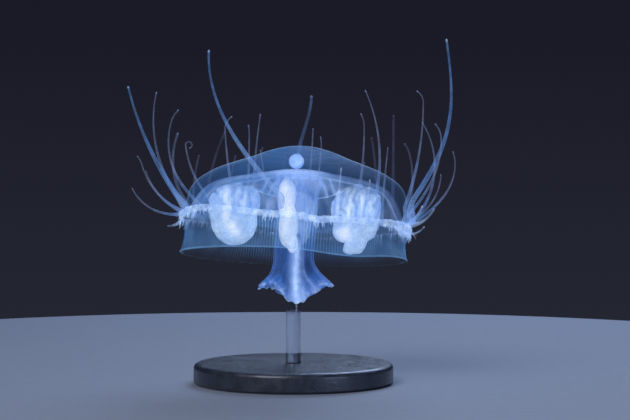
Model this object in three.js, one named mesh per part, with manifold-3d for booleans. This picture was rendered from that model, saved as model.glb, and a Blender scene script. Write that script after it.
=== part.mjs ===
// A freshwater jellyfish at life size, swimming, held by a rod on a round base.
// Millimetres, +Z up. The origin is the middle of the underside of the base.
//
// The animal is drawn upright in its own frame: radius, azimuth in degrees, and height
// over the plane of its bell margin. One turned group then sets it in its swimming pose.
import * as THREE from 'three';
import { mergeVertices } from 'three/addons/utils/BufferGeometryUtils.js';
import Module from 'manifold-3d';

const wasm = await Module();
wasm.setup();

// ---------------------------------------------------------------- driving sizes

const GAP = 0.02;                 // clearance between neighbouring pieces
const FINEST = 0.012;             // detail below this, left where pieces join, is smoothed away
const AXIS_STEPS = 32;            // facets round the bell

const STAND = {
  baseRadius: 10, baseHeight: 2, edge: 0.5, // round base with a bevelled edge
  rodRadius: 0.75, holeDepth: 1.3,          // rod pressed into the base
  rodTop: 15,                               // end of the rod, inside the mouth stalk
};

const POSE = {
  height: 16,                     // middle of the bell margin over the floor
  roll: 4.3,                      // degrees, right side down
  tilt: -8.5,                     // degrees, top leaning away so the underside shows
  spin: -6,                       // degrees about the animal's own axis
  rodMeets: -3.5,                 // height in the stalk where rod and axis cross
};

const POUCH = { radius: 0.8, height: 6.2 };   // the bright stomach ball under the apex
const STALK = { top: 4.85, wall: 1.55, ridge: 0.8, flareFrom: 0.62, lip: 0.5, cavityTop: -2.2 };
const CANAL = { width: 0.6, from: 2.7, to: 10 };
const RING = { radius: 11.2, tube: 0.5, height: -0.3, sides: 6, stepsPerQuarter: 8 };
const FRINGE = { perQuarter: 9, radius: 0.27, sides: 4, lengths: [1.6, 1.2], rises: [-74, -22] };
const VELUM = { outer: 11.25, wall: 0.5, waist: 0.2, bead: 0.28, length: 3.45, slant: 0.4 };
const LONG = { radii: [0.3, 0.28, 0.25], sides: 6, stepsEach: 4 };
const SLIM = { radius: 0.25, sides: 5, bendPerStep: 30 };

// where a tentacle leaves the animal: radius and height of its root
const SEATS = { high: [11.47, 1.1], top: [11.5, 0.29], side: [11.77, -0.2], under: [11.62, -0.82] };

// ---------------------------------------------------------------- helpers

const { degToRad: rad, radToDeg, clamp, lerp, smoothstep } = THREE.MathUtils;
const times = (count, make) => Array.from({ length: count }, (_, i) => make(i));
const polar = (radius, degrees, height) =>
  new THREE.Vector3(radius * Math.cos(rad(degrees)), radius * Math.sin(rad(degrees)), height);

/** Solid of a closed three.js geometry, without doubled points or slivers. */
function solidOf(geometry) {
  geometry.deleteAttribute('normal');
  geometry.deleteAttribute('uv');
  const merged = mergeVertices(geometry, 1e-4);
  const corners = merged.getIndex().array;
  const kept = [];
  for (let i = 0; i < corners.length; i += 3) {
    const [a, b, c] = corners.subarray(i, i + 3);
    if (a !== b && b !== c && c !== a) kept.push(a, b, c);
  }
  return new wasm.Manifold(new wasm.Mesh({
    numProp: 3,
    vertProperties: merged.getAttribute('position').array,
    triVerts: Uint32Array.from(kept),
  }));
}

/**
 * Solid turned about Z from an outline of [radius, height] pairs that runs up the outside.
 * `shape` places each point from its radius, azimuth and height on the outline.
 */
function turned(outline, steps, shape = polar) {
  const profile = [...outline, outline[0]].map(([r, h]) => new THREE.Vector2(r, h));
  const geometry = new THREE.LatheGeometry(profile, steps).rotateX(Math.PI / 2);
  const points = geometry.getAttribute('position');
  for (let i = 0; i < points.count; i++) {
    const [x, y, z] = [points.getX(i), points.getY(i), points.getZ(i)];
    points.setXYZ(i, ...shape(Math.hypot(x, y), radToDeg(Math.atan2(y, x)), z).toArray());
  }
  return solidOf(geometry);
}

/** Even tube with flat ends along a row of points. */
function tubeAlong(points, radius, sides, steps) {
  const section = new THREE.Shape(times(sides, (i) => {
    const angle = (2 * Math.PI * i) / sides;
    return new THREE.Vector2(radius * Math.cos(angle), radius * Math.sin(angle));
  }));
  const extrudePath = new THREE.CatmullRomCurve3(points);
  return solidOf(new THREE.ExtrudeGeometry(section, { steps, extrudePath, bevelEnabled: false }));
}

/**
 * Centre line of a tentacle, as points from t0 to t1 of its length. Its rise over the ring
 * plane runs from `rise` to `tip` degrees, its heading swings from straight outward to
 * `lean`, `wave` bends it to and fro, `cling` holds its first 2 mm more upright, close to the
 * bell, and `hook` curls its end.
 */
function centreLine(shape, t0 = 0, t1 = 1) {
  const { at, length, rise, tip, lean = leanAt(at), seat = 'top', hook = 0, hookFrom = 0.86,
    turnIn = 0.35, power = 1, wave = 0, cling = 0 } = shape;
  const steps = 120;
  const point = polar(SEATS[seat][0], at, SEATS[seat][1]);
  const points = [point.clone()];
  for (let i = 0; i < steps; i++) {
    const t = (i + 0.5) / steps;
    const climb = rise + (tip - rise) * t ** power + wave * Math.sin(2 * Math.PI * t)
      + hook * clamp((t - hookFrom) / (1 - hookFrom), 0, 1)
      + cling * (1 - smoothstep(t * length, 0, 2));
    const heading = lerp(at, lean, smoothstep(t, 0, turnIn));
    point.add(polar(Math.cos(rad(climb)), heading, Math.sin(rad(climb)))
      .multiplyScalar(length / steps));
    points.push(point.clone());
  }
  const kept = Math.round((t1 - t0) * 30);
  return times(kept + 1, (i) => points[Math.round(lerp(t0, t1, i / kept) * steps)]);
}

/** A tentacle leans to the side of the animal that it stands on. */
const leanAt = (degrees) => (Math.cos(rad(degrees + POSE.spin)) > 0 ? 6 : 186);

/** A slim tentacle in one piece, with more facets along it the more it bends. */
function slimTentacle(shape) {
  const bend = Math.abs(shape.tip - shape.rise) + Math.abs(shape.hook ?? 0);
  const steps = 4 + Math.round(bend / SLIM.bendPerStep);
  return tubeAlong(centreLine(shape), SLIM.radius, SLIM.sides, steps);
}

/** Adds a solid to a group as a named mesh with its own material, and gives the mesh. */
function add(group, name, solid, colour, { opacity = 1, roughness = 0.3 } = {}) {
  const { vertProperties, triVerts } = solid.asOriginal().simplify(FINEST).getMesh();
  const geometry = new THREE.BufferGeometry();
  geometry.setAttribute('position', new THREE.BufferAttribute(vertProperties, 3));
  geometry.setIndex(new THREE.BufferAttribute(triVerts, 1));
  geometry.computeVertexNormals();
  const material = new THREE.MeshStandardMaterial({
    color: colour, roughness, opacity, transparent: opacity < 1,
  });
  const mesh = new THREE.Mesh(geometry, material);
  mesh.name = name;
  group.add(mesh);
  return mesh;
}

// ---------------------------------------------------------------- the model and its pose

const model = new THREE.Group();
model.name = 'freshwater_jellyfish';

const animal = new THREE.Group();
animal.rotation.set(rad(POSE.tilt), rad(POSE.roll), rad(POSE.spin), 'YXZ');
const axis = new THREE.Vector3(0, 0, 1).applyEuler(animal.rotation);
animal.position.set(-POSE.rodMeets * axis.x, -POSE.rodMeets * axis.y, POSE.height);
animal.updateMatrix();
model.add(animal);

// ---------------------------------------------------------------- stand

const rodFoot = STAND.baseHeight - STAND.holeDepth;
const rodShape = (radius) => new THREE.CylinderGeometry(radius, radius, STAND.rodTop - rodFoot, 16)
  .rotateX(Math.PI / 2)
  .translate(0, 0, (STAND.rodTop + rodFoot) / 2);

const { baseRadius, baseHeight, edge } = STAND;
const base = turned([
  [0, 0], [baseRadius - edge / 2, 0], [baseRadius, edge / 2],
  [baseRadius, baseHeight - edge], [baseRadius - edge, baseHeight], [0, baseHeight],
], AXIS_STEPS);
const rodHole = solidOf(rodShape(STAND.rodRadius + GAP));
add(model, 'stand_base', base.subtract(rodHole), 0x2b313c, { roughness: 0.35 });
add(model, 'stand_rod', solidOf(rodShape(STAND.rodRadius)), 0xdfe6ee, { opacity: 0.35, roughness: 0.05 });

// ---------------------------------------------------------------- bell and stomach

const bellOutside = [
  [11.1, 0.26], [11.12, 1], [11, 2], [10.75, 3.1], [10.1, 4.05], [8.7, 4.95],
  [7, 5.68], [5, 6.42], [3.6, 7], [2, 7.5], [0.9, 7.66], [0, 7.7],
];
const bellRoof = [                // the hollow's ceiling, from the stomach out to the margin
  [2, 5.02], [4, 4.6], [6, 4.2], [7.9, 3.78], [8.8, 3.42], [9.4, 2.85], [9.85, 2.2], [10.3, 1.2],
  [10.6, 0.26],
];
const pouchWall = POUCH.radius + GAP;
const bellPouch = [[0, 7.02], [0.5, 6.85], [pouchWall, 6.4], [pouchWall, 5.3]];
const bell = turned([...bellOutside, ...bellPouch, ...bellRoof], AXIS_STEPS);
add(animal, 'bell', bell, 0x5f86c0, { opacity: 0.35, roughness: 0.1 });

/** All that lies over the hollow's ceiling: soft parts that hang there are cut to it. */
const overRoof = turned([
  ...bellRoof.map(([r, h]) => [r, h - GAP]).reverse(), [0, bellRoof[0][1] - GAP], [0, 9], [12, 9],
  [12, 0.2],
].reverse(), AXIS_STEPS);

const pouchArc = times(6, (i) => {
  const angle = rad(-20 + (110 * i) / 5);
  return [(pouchWall - 2 * GAP) * Math.cos(angle), POUCH.height + (pouchWall - 2 * GAP) * Math.sin(angle)];
});
const stomach = turned([
  [0, bellRoof[0][1]], [pouchArc[0][0], bellRoof[0][1]], ...pouchArc.slice(0, -1), [0, pouchArc[5][1]],
], 12);
add(animal, 'stomach', stomach, 0xb4ccf4, { roughness: 0.25 });

// ---------------------------------------------------------------- mouth stalk

// the four arms of the mouth: azimuth, and how far out and down each lip reaches
const LIPS = [
  { at: 0, out: 4.05, down: -5.8 },
  { at: 90, out: 3.4, down: -7.4 },
  { at: 180, out: 3.1, down: -6.65 },
  { at: 284, out: 3.5, down: -8.2 },
];
const LIP_BETWEEN = { out: 2.1, down: -5.65 };
const LIP_NARROWNESS = 4;

/** Reach and depth of the lip edge at an azimuth, along the four arms and between them. */
function lipEdge(degrees) {
  const here = { ...LIP_BETWEEN };
  for (const lip of LIPS) {
    const share = Math.max(0, Math.cos(rad(degrees - lip.at))) ** LIP_NARROWNESS;
    here.out += (lip.out - LIP_BETWEEN.out) * share;
    here.down += (lip.down - LIP_BETWEEN.down) * share;
  }
  return here;
}

/**
 * Places a point of the stalk: `down` runs from 0 at the bell's ceiling to 1 at the lips,
 * and `layer` is 1 on the outside, 0.5 on the inside of the lips and 0 on the axis.
 */
function stalkPoint(layer, degrees, down) {
  if (layer === 0) return new THREE.Vector3(0, 0, down === 0 ? STALK.top : STALK.cavityTop);
  const rim = lipEdge(degrees);
  const corner = ((1 + Math.cos(rad(4 * degrees))) / 2) ** 2;
  const neck = STALK.wall + STALK.ridge * corner + 0.3 * (1 - smoothstep(down, 0, 0.25));
  const { flareFrom, top, lip } = STALK;
  const flare = smoothstep(down, flareFrom, 1.15) / smoothstep(1, flareFrom, 1.15);
  const inset = layer < 0.75 ? lip : 0;
  return polar(lerp(neck, rim.out, flare) - inset, degrees, lerp(top, rim.down, down));
}

const stalk = turned([
  [0, 0], ...[0, 0.12, 0.3, 0.5, 0.66, 0.8, 0.91, 1].map((down) => [1, down]),
  ...[0.985, 0.9, 0.8, 0.7].map((down) => [0.5, down]), [0, 0.65],
].reverse(), 24, stalkPoint);
const rodInStalk = solidOf(rodShape(STAND.rodRadius + GAP).applyMatrix4(animal.matrix.clone().invert()));
add(animal, 'manubrium', stalk.subtract(rodInStalk), 0x4f7fc4, { opacity: 0.6 });

// ---------------------------------------------------------------- gonads

// each gonad hangs from a radial canal; lobes are [outward, sideways, height] and half sizes
const GONADS = {
  right: { at: 0, lobes: [
    [5.9, 0, 1.1, 2.35, 1.3, 2.7], [4.3, 0.35, 2.4, 1, 1.1, 1.7], [7.6, -0.35, 2.2, 1.15, 1.1, 1.7],
    [7, 0.1, 0.2, 1.3, 1.15, 1.7], [5.8, 0.1, -1.8, 1.2, 1, 1.3],
  ] },
  back: { at: 90, lobes: [
    [5.8, 0, 0.9, 2.2, 1.25, 2.9], [4.6, 0.35, 2.5, 1.1, 1, 1.7], [7.2, -0.2, 2.3, 1.2, 1, 1.7],
  ] },
  left: { at: 180, lobes: [
    [6.2, 0, 0, 2.35, 1.35, 2.6], [4.7, -0.2, 2.4, 0.95, 1.05, 1.7], [6.1, 0.35, 2.7, 0.95, 1, 1.7],
    [7.4, -0.1, 2.3, 1, 1.05, 1.6], [8.1, 0.1, 0.9, 0.7, 0.9, 1.3],
  ] },
  front: { at: 270, lobes: [
    [5.9, 0, -0.4, 2.2, 1.1, 2.7], [5.9, -0.5, 1.8, 2.2, 0.95, 2.2],
    [4.5, -0.35, 2.3, 1.05, 0.9, 1.7], [7.3, -0.4, 2.1, 1.15, 0.9, 1.7],
  ] },
};

/** Radial canal: an upright strap along +X, tall enough to be cut to the bell's ceiling. */
function canalSolid() {
  const underside = [[CANAL.from, 4.3], [6, 3.65], [7.9, 3.2], [8.8, 2.75], [9.3, 2], [CANAL.to, 0.9]];
  const side = new THREE.Shape([...underside, [CANAL.to, 5.2], [CANAL.from, 5.2]]
    .map(([r, h]) => new THREE.Vector2(r, h)));
  const strap = new THREE.ExtrudeGeometry(side, { depth: CANAL.width, bevelEnabled: false });
  return solidOf(strap.rotateX(Math.PI / 2).translate(0, CANAL.width / 2, 0));
}

for (const [side, { at, lobes }] of Object.entries(GONADS)) {
  const balls = lobes.map(([out, aside, height, ...half], i) => solidOf(
    new THREE.SphereGeometry(1, i === 0 ? 12 : 9, i === 0 ? 8 : 6).rotateX(Math.PI / 2)
      .rotateZ(0.43 * i + 0.15).scale(...half).translate(out, aside, height)));
  const hanging = wasm.Manifold.union([...balls, canalSolid()]).subtract(overRoof);
  add(animal, `gonad_${side}`, hanging, 0xbfd6fa, { opacity: 0.9 }).rotation.z = rad(at);
}

// ---------------------------------------------------------------- velum

// the thin skirt under the ring; its edge hangs a little lower on the animal's left
const velumTop = RING.height - RING.tube - GAP;
const velumOutline = [             // radius, and depth as a share of the skirt's length
  [VELUM.outer - 0.1, 1], [VELUM.outer + VELUM.bead / 3, 0.9], [VELUM.outer - VELUM.waist, 0.5],
  [VELUM.outer, 0], [VELUM.outer - VELUM.wall, 0],
  [VELUM.outer - VELUM.wall - VELUM.waist, 0.5], [VELUM.outer - VELUM.wall, 1],
];
const velumPoint = (radius, degrees, share) => {
  const edgeHeight = VELUM.slant * Math.cos(rad(degrees + POSE.spin)) - VELUM.length;
  return polar(radius, degrees, lerp(velumTop, edgeHeight, share));
};
add(animal, 'velum', turned(velumOutline, AXIS_STEPS, velumPoint), 0x6f93c4, { opacity: 0.35 });

// ---------------------------------------------------------------- tentacles

// azimuth, length, and rise in degrees at the root and at the tip
const LONG_TENTACLES = {
  right: { at: 0, length: 19, rise: 59, tip: 102, turnIn: 0.3, wave: -5, cling: 38 },
  back: { at: 94, length: 13.6, rise: 86, tip: 93, turnIn: 0.3, wave: 14 },
  left: { at: 180, length: 13.4, rise: 49, tip: 74, turnIn: 0.3 },
  front: { at: 270, length: 16.4, rise: 43, tip: 90, turnIn: 0.06, lean: 200, power: 2.2 },
};
for (const [side, shape] of Object.entries(LONG_TENTACLES)) {
  ['root', 'middle', 'tip'].forEach((place, i) => {
    const start = i / 3 + (i > 0 ? (2 * GAP) / shape.length : 0);
    const line = centreLine({ ...shape, seat: 'high' }, start, (i + 1) / 3);
    add(animal, `tentacle_${side}_${place}`,
      tubeAlong(line, LONG.radii[i], LONG.sides, LONG.stepsEach), 0x6f9bdc);
  });
}

// medium tentacles, numbered round the ring from the right through the back
const MEDIUM_TENTACLES = [
  { at: 7, length: 9.2, rise: 38, tip: 113, power: 1.8 },
  { at: 18, length: 11.7, rise: 46, tip: 126, turnIn: 0.2 },
  { at: 30, length: 9.3, rise: 64, tip: 115, hook: 15, turnIn: 0.2 },
  { at: 37, length: 12, rise: 93, tip: 94 },
  { at: 52, length: 10, rise: 86, tip: 104 },
  { at: 64, length: 7.5, rise: 88, tip: 84 },
  { at: 76, length: 8.2, rise: 86, tip: 94 },
  { at: 104, length: 7.8, rise: 86, tip: 92 },
  { at: 118, length: 8.4, rise: 84, tip: 98 },
  { at: 132, length: 7.2, rise: 78, tip: 100 },
  { at: 150, length: 9.4, rise: 86, tip: 110 },
  { at: 155, length: 9.9, rise: 34, tip: 107 },
  { at: 161, length: 6.6, rise: 80, tip: 118 },
  { at: 172, length: 6.1, rise: 20, tip: 76 },
  { at: 190, length: 7.1, rise: 20, tip: 84, hook: -20 },
  { at: 198, length: 5.8, rise: -12, tip: 60, seat: 'side' },
  { at: 205, length: 12.4, rise: 44, tip: 98 },
  { at: 223, length: 10.9, rise: 27, tip: 112, hook: 20 },
  { at: 235, length: 9.1, rise: 44, tip: 74, hook: 330, hookFrom: 0.77 },
  { at: 244, length: 9, rise: 74, tip: 84, hook: 60, hookFrom: 0.82 },
  { at: 251.5, length: 7.9, rise: 88, tip: 86, hook: -10 },
  { at: 254.5, length: 9, rise: 86, tip: 94 },
  { at: 262, length: 5.6, rise: 78, tip: 76 },
  { at: 281, length: 7.9, rise: 86, tip: 92 },
  { at: 285, length: 7.2, rise: 82, tip: 92, hook: 15 },
  { at: 307, length: 10, rise: 80, tip: 97, hook: 25 },
  { at: 318, length: 12.7, rise: 74, tip: 118 },
  { at: 322, length: 7, rise: 90, tip: 88 },
  { at: 343, length: 13.5, rise: 71, tip: 97, hook: 60, hookFrom: 0.9, turnIn: 0.15 },
  { at: 350, length: 11, rise: 54, tip: 110, power: 1.7, hook: 30, turnIn: 0.1 },
  { at: 355, length: 6.3, rise: 24, tip: 92, turnIn: 0.1 },
];
MEDIUM_TENTACLES.forEach((shape, i) => {
  const number = String(i + 1).padStart(2, '0');
  add(animal, `tentacle_medium_${number}`, slimTentacle(shape), 0x6088c6);
});

// ---------------------------------------------------------------- nettle ring and its fringe

// small tentacles that grow out of the ring in one piece with it
const SMALL_TENTACLES = [
  { at: 12, length: 3.9, rise: 28, tip: 58, turnIn: 0.2 },
  { at: 23, length: 3.7, rise: 34, tip: 66, turnIn: 0.2 },
  { at: 296, length: 4.4, rise: 92, tip: 88 },
  { at: 312, length: 3.6, rise: 88, tip: 88 },
  { at: 345.5, length: 2.5, rise: -20, tip: 60, seat: 'under', turnIn: 0.2 },
];
const SUNK = 0.2;                 // how deep a small tentacle starts inside the ring
const LOW = [...MEDIUM_TENTACLES, ...SMALL_TENTACLES].filter(({ rise }) => rise < 30);
const CLEAR_OF_LOW = 3.4;         // degrees kept free of fringe round each low tentacle

/** A fringe stub: a slim prism that springs from the outer underside of the ring. */
function fringeStub(degrees, kind) {
  const length = FRINGE.lengths[kind];
  const rise = rad(FRINGE.rises[kind]);
  const root = polar(RING.radius + 0.28, degrees, RING.height - 0.12);
  const along = polar(Math.cos(rise), degrees, Math.sin(rise));
  const turn = new THREE.Quaternion().setFromUnitVectors(new THREE.Vector3(0, 1, 0), along);
  const place = root.addScaledVector(along, length / 2);
  return solidOf(new THREE.CylinderGeometry(FRINGE.radius, FRINGE.radius, length, FRINGE.sides)
    .applyQuaternion(turn).translate(place.x, place.y, place.z));
}

const QUARTERS = { back_right: 0, back_left: 90, front_left: 180, front_right: 270 };
for (const [place, start] of Object.entries(QUARTERS)) {
  const cut = 0.1;                // degrees left open at each end of a quarter
  const arc = times(13, (i) => polar(RING.radius, start + lerp(cut, 90 - cut, i / 12), RING.height));
  const body = tubeAlong(arc, RING.tube, RING.sides, RING.stepsPerQuarter);
  const small = SMALL_TENTACLES.filter(({ at }) => at > start && at < start + 90).map((shape) => {
    const below = shape.seat === 'under';
    const inward = polar(-SUNK, shape.at, below ? SUNK : -SUNK);
    return slimTentacle(shape).translate(inward.toArray());
  });
  const stubs = times(FRINGE.perQuarter, (i) => [start + (90 * (i + 0.5)) / FRINGE.perQuarter, i % 2])
    .filter(([degrees]) => LOW.every(({ at }) => Math.abs(at - degrees) > CLEAR_OF_LOW))
    .map(([degrees, kind]) => fringeStub(degrees, kind));
  add(animal, `nettle_ring_${place}`, wasm.Manifold.union([body, ...small, ...stubs]), 0xa3c0ee);
}

export default model;
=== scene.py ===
# A freshwater jellyfish at life size, held in its swimming pose by a clear rod.
# The animal is drawn upright in a frame of its own, in millimetres: radius and azimuth
# round its axis, and height over the plane of its bell margin. Azimuth 0 is on the
# viewer's right and 270 is the front. skin() below sets it in its pose, in metres.
import math

import bmesh
import bpy
import numpy as np
from mathutils import Matrix, Vector


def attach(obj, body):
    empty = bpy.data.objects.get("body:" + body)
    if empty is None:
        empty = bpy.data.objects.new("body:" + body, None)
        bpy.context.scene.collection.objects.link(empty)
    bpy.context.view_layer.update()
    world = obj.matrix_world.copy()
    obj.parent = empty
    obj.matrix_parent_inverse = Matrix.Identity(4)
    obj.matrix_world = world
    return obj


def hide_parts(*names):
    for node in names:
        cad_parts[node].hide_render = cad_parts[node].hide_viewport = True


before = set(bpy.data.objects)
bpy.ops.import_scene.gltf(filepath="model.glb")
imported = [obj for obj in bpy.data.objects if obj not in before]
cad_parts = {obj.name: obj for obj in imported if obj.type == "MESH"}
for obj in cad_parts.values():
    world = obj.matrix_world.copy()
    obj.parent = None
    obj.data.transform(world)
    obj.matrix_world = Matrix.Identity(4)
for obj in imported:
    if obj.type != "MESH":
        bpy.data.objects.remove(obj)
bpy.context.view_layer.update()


# ------------------------------------------------------------------ pose and camera
# The animal leans with its top away from the viewer and a little to the viewer's right.
# The camera looks at it from the front, 3 degrees above the horizon.
MM = 0.001
TILT, ROLL, SPIN = (math.radians(angle) for angle in (-8.5, 4.3, -6.0))
POSE = (Matrix.Rotation(ROLL, 3, "Y") @ Matrix.Rotation(TILT, 3, "X")
        @ Matrix.Rotation(SPIN, 3, "Z"))
MARGIN_HEIGHT = 16.0                  # from the table to the middle of the bell's margin
ROD_MEETS = 3.5                       # how far below the margin the rod meets the axis
lean = POSE @ Vector((0, 0, 1))
MIDDLE = Vector((ROD_MEETS * lean.x, ROD_MEETS * lean.y, MARGIN_HEIGHT))

CAMERA_RISE, CAMERA_DISTANCE, VIEW_WIDTH = math.radians(3.0), 260.0, 63.0
AIM = Vector((1.9, 0.0, 1.3))         # from the middle to where the camera looks
backward = Vector((0, -math.cos(CAMERA_RISE), math.sin(CAMERA_RISE)))
lens = bpy.data.cameras.new("camera")
lens.sensor_width = 36.0
lens.lens = lens.sensor_width * CAMERA_DISTANCE / VIEW_WIDTH
lens.clip_start, lens.clip_end = 0.01, 5.0
camera = bpy.data.objects.new("camera", lens)
camera.location = (MIDDLE + AIM) * MM + backward * CAMERA_DISTANCE * MM
camera.rotation_mode = "QUATERNION"
camera.rotation_quaternion = (-backward).to_track_quat("-Z", "Y")
scene = bpy.context.scene
scene.collection.objects.link(camera)
scene.camera = camera
scene.cycles.transparent_max_bounces = 64
scene.view_settings.view_transform = "Standard"


# ------------------------------------------------------------------ floor and light
# A plain pale round table top in a dim room, under soft lamps: one above and in front
# on the left, one behind the top for the edges, and a weak one low on the right.
def feed(made, inputs):
    """Links or sets the inputs of a node, by name or number."""
    for key, value in inputs.items():
        value = getattr(value, "socket", value)
        if isinstance(value, bpy.types.NodeSocket):
            made.id_data.links.new(value, made.inputs[key])
        else:
            made.inputs[key].default_value = value


def node(tree, kind, inputs=None, **settings):
    """A new shader node with its settings and its inputs."""
    made = tree.nodes.new(kind)
    for key, value in settings.items():
        setattr(made, key, value)
    feed(made, inputs or {})
    return made


class Value:
    """A number that a shader works out at each point. It adds to, multiplies or is taken
    from another one or a plain number by a Math node in the tree that it belongs to."""

    def __init__(self, socket):
        self.socket, self.tree = socket, socket.id_data

    def math(self, operation, *others):
        terms = dict(enumerate((self, *others)))
        return reading(self.tree, "ShaderNodeMath", terms, operation=operation)

    def __add__(self, other):
        return self.math("ADD", other)

    def __sub__(self, other):
        return self.math("SUBTRACT", other)

    def __rsub__(self, other):
        return self.math("MULTIPLY_ADD", -1.0, other)

    def __mul__(self, other):
        return self.math("MULTIPLY", other)


def reading(tree, kind, inputs=None, output=0, **settings):
    """One output of a new node, as a value."""
    return Value(node(tree, kind, inputs, **settings).outputs[output])


def ramp(value, low, high, to_low=0.0, to_high=1.0):
    """Value taken smoothly from to_low at low to to_high at high, and held outside."""
    return reading(value.tree, "ShaderNodeMapRange", {
        0: value, 1: low, 2: high, 3: to_low, 4: to_high}, interpolation_type="SMOOTHSTEP")


def blend(share, first, second):
    """Colour that is the first at a share of 0 and the second at 1."""
    return node(share.tree, "ShaderNodeMix", {0: share, 6: first, 7: second},
                data_type="RGBA").outputs[2]


def rgb(red, green, blue):
    """Linear colour from screen values of 0 to 255, by the sRGB curve."""
    value = np.array([red, green, blue]) / 255
    value = np.where(value < 0.04045, value / 12.92, ((value + 0.055) / 1.055) ** 2.4)
    return (*value.tolist(), 1.0)


def finish_of(name):
    """A new material: its node tree and its shader."""
    material = bpy.data.materials.new(name)
    material.use_nodes = True
    tree = material.node_tree
    return material, tree, tree.nodes["Principled BSDF"]


SAME_PLACE = 0.0002 * MM              # points as close as this are one


def skin(name, grids, material, in_pose=True, **marks):
    """Object made of grids of points, each shaped (pieces, rows, columns, 3), in mm.

    Four neighbours make a face. Points that fall together are made one, which closes
    seams and poles, and the faces are turned outwards. A mark is a number for each point
    of each grid.
    """
    points, faces, start = [], [], 0
    for grid in grids:
        index = start + np.arange(grid[..., 0].size).reshape(grid.shape[:3])
        start += index.size
        points.append(grid.reshape(-1, 3))
        faces.append(np.stack([index[:, :-1, :-1], index[:, :-1, 1:],
                               index[:, 1:, 1:], index[:, 1:, :-1]], -1).reshape(-1, 4))
    points, faces = np.concatenate(points), np.concatenate(faces)
    if in_pose:
        points = points @ np.array(POSE).T + np.array(MIDDLE)
    mesh = bpy.data.meshes.new(name)
    mesh.from_pydata((points * MM).tolist(), [], faces.tolist())
    for label, values in marks.items():
        held = mesh.attributes.new(label, "FLOAT", "POINT")
        held.data.foreach_set("value", np.concatenate(
            [np.ravel(value) for value in values]).astype(np.float32))
    work = bmesh.new()
    work.from_mesh(mesh)
    bmesh.ops.remove_doubles(work, verts=work.verts, dist=SAME_PLACE)
    bmesh.ops.recalc_face_normals(work, faces=work.faces)
    work.to_mesh(mesh)
    work.free()
    mesh.shade_smooth()
    mesh.materials.append(material)
    made = bpy.data.objects.new(name, mesh)
    scene.collection.objects.link(made)
    return made


def round_axis(radius, turn, height):
    """Points at a radius and an azimuth round the axis, and at a height."""
    return np.stack(np.broadcast_arrays(radius * np.cos(turn), radius * np.sin(turn),
                                        height), -1)


def once_round(steps):
    """Azimuths at even steps once round, the first one again at the end."""
    return np.linspace(0, 2 * np.pi, steps + 1)


def lathe(profile, columns):
    """A profile of (radius, height) carried once round the axis, as one grid."""
    radius, height = np.asarray(profile, float).T[:, :, None]
    return round_axis(radius, once_round(columns), height)[None]


FLOOR_RADIUS = 78.0
floor_profile = [(0, -4), (FLOOR_RADIUS - 1, -4), (FLOOR_RADIUS, -3.5), (FLOOR_RADIUS, -0.6),
                 (FLOOR_RADIUS - 0.2, -0.2), (FLOOR_RADIUS - 0.6, 0), (40, 0), (12, 0), (0, 0)]
floor_paint, tree, shader = finish_of("floor_paint")
place = node(tree, "ShaderNodeTexCoord").outputs["Object"]
grain = reading(tree, "ShaderNodeTexNoise", {"Vector": place, "Scale": 900.0, "Detail": 3.0})
feed(shader, {"Base Color": blend(grain, rgb(128, 133, 146), rgb(140, 145, 158)),
              "Roughness": 0.75})
floor = skin("floor", [lathe(floor_profile, 160)], floor_paint, in_pose=False)

world = bpy.data.worlds.new("dim_room")
world.use_nodes = True
tree = world.node_tree
way = node(tree, "ShaderNodeTexCoord").outputs["Generated"]
rise = ramp(reading(tree, "ShaderNodeSeparateXYZ", {0: way}, output=2), -0.11, 0.04)
feed(tree.nodes["Background"], {0: blend(rise, rgb(36, 38, 49), rgb(26, 26, 38))})
scene.world = world

# where each lamp stands from the animal, in mm, its size in mm, its power and its colour
LAMPS = {
    "lamp_key": ((-120, -190, 190), 150, 0.55, rgb(236, 243, 255)),
    "lamp_edge": ((60, 190, 170), 160, 0.50, rgb(190, 214, 255)),
    "lamp_low": ((170, -150, -6), 110, 0.16, rgb(190, 212, 255)),
}
for name, (stand_off, size, power, colour) in LAMPS.items():
    light = bpy.data.lights.new(name, "AREA")
    light.size, light.energy, light.color = size * MM, power, colour[:3]
    lamp = bpy.data.objects.new(name, light)
    lamp.location = (MIDDLE + Vector(stand_off)) * MM
    lamp.rotation_mode = "QUATERNION"
    lamp.rotation_quaternion = Vector(stand_off).to_track_quat("Z", "Y")
    scene.collection.objects.link(lamp)


# ------------------------------------------------------------------ stand
# A turned round base with an eased edge, painted slate blue, and a clear acrylic rod
# pressed into it, which runs up into the mouth stalk and is hardly seen there.
def group_of(name, **inputs):
    """A new node group that gives one mask. Its named inputs have usual values. Returns
    the group, and its inputs as values."""
    group = bpy.data.node_groups.new(name, "ShaderNodeTree")
    for label, usual in inputs.items():
        socket = group.interface.new_socket(label, in_out="INPUT",
                                            socket_type="NodeSocketFloat")
        socket.default_value = usual
    group.interface.new_socket("Mask", in_out="OUTPUT", socket_type="NodeSocketFloat")
    given = group.nodes.new("NodeGroupInput").outputs
    return group, [Value(given[label]) for label in inputs]


# cloudy mottling: a noise, drawn out between two of its levels
CLOUD, (scale, detail, warp) = group_of("cloud", Scale=1.0, Detail=4.0, Warp=0.3)
spot = node(CLOUD, "ShaderNodeTexCoord").outputs["Object"]
spot = node(CLOUD, "ShaderNodeVectorMath", {0: spot, 3: 1 / MM}, operation="SCALE").outputs[0]
noise = reading(CLOUD, "ShaderNodeTexNoise", {
    "Vector": spot, "Scale": scale, "Detail": detail, "Distortion": warp})
node(CLOUD, "NodeGroupOutput", {"Mask": ramp(noise, 0.36, 0.66)})


def cloud(tree, scale, detail=3.0, warp=0.5):
    """Cloudy mottling with so many swells to a mm, as a mask from 0 to 1."""
    return reading(tree, "ShaderNodeGroup", {"Scale": scale, "Detail": detail, "Warp": warp},
                   node_tree=CLOUD)


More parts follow.
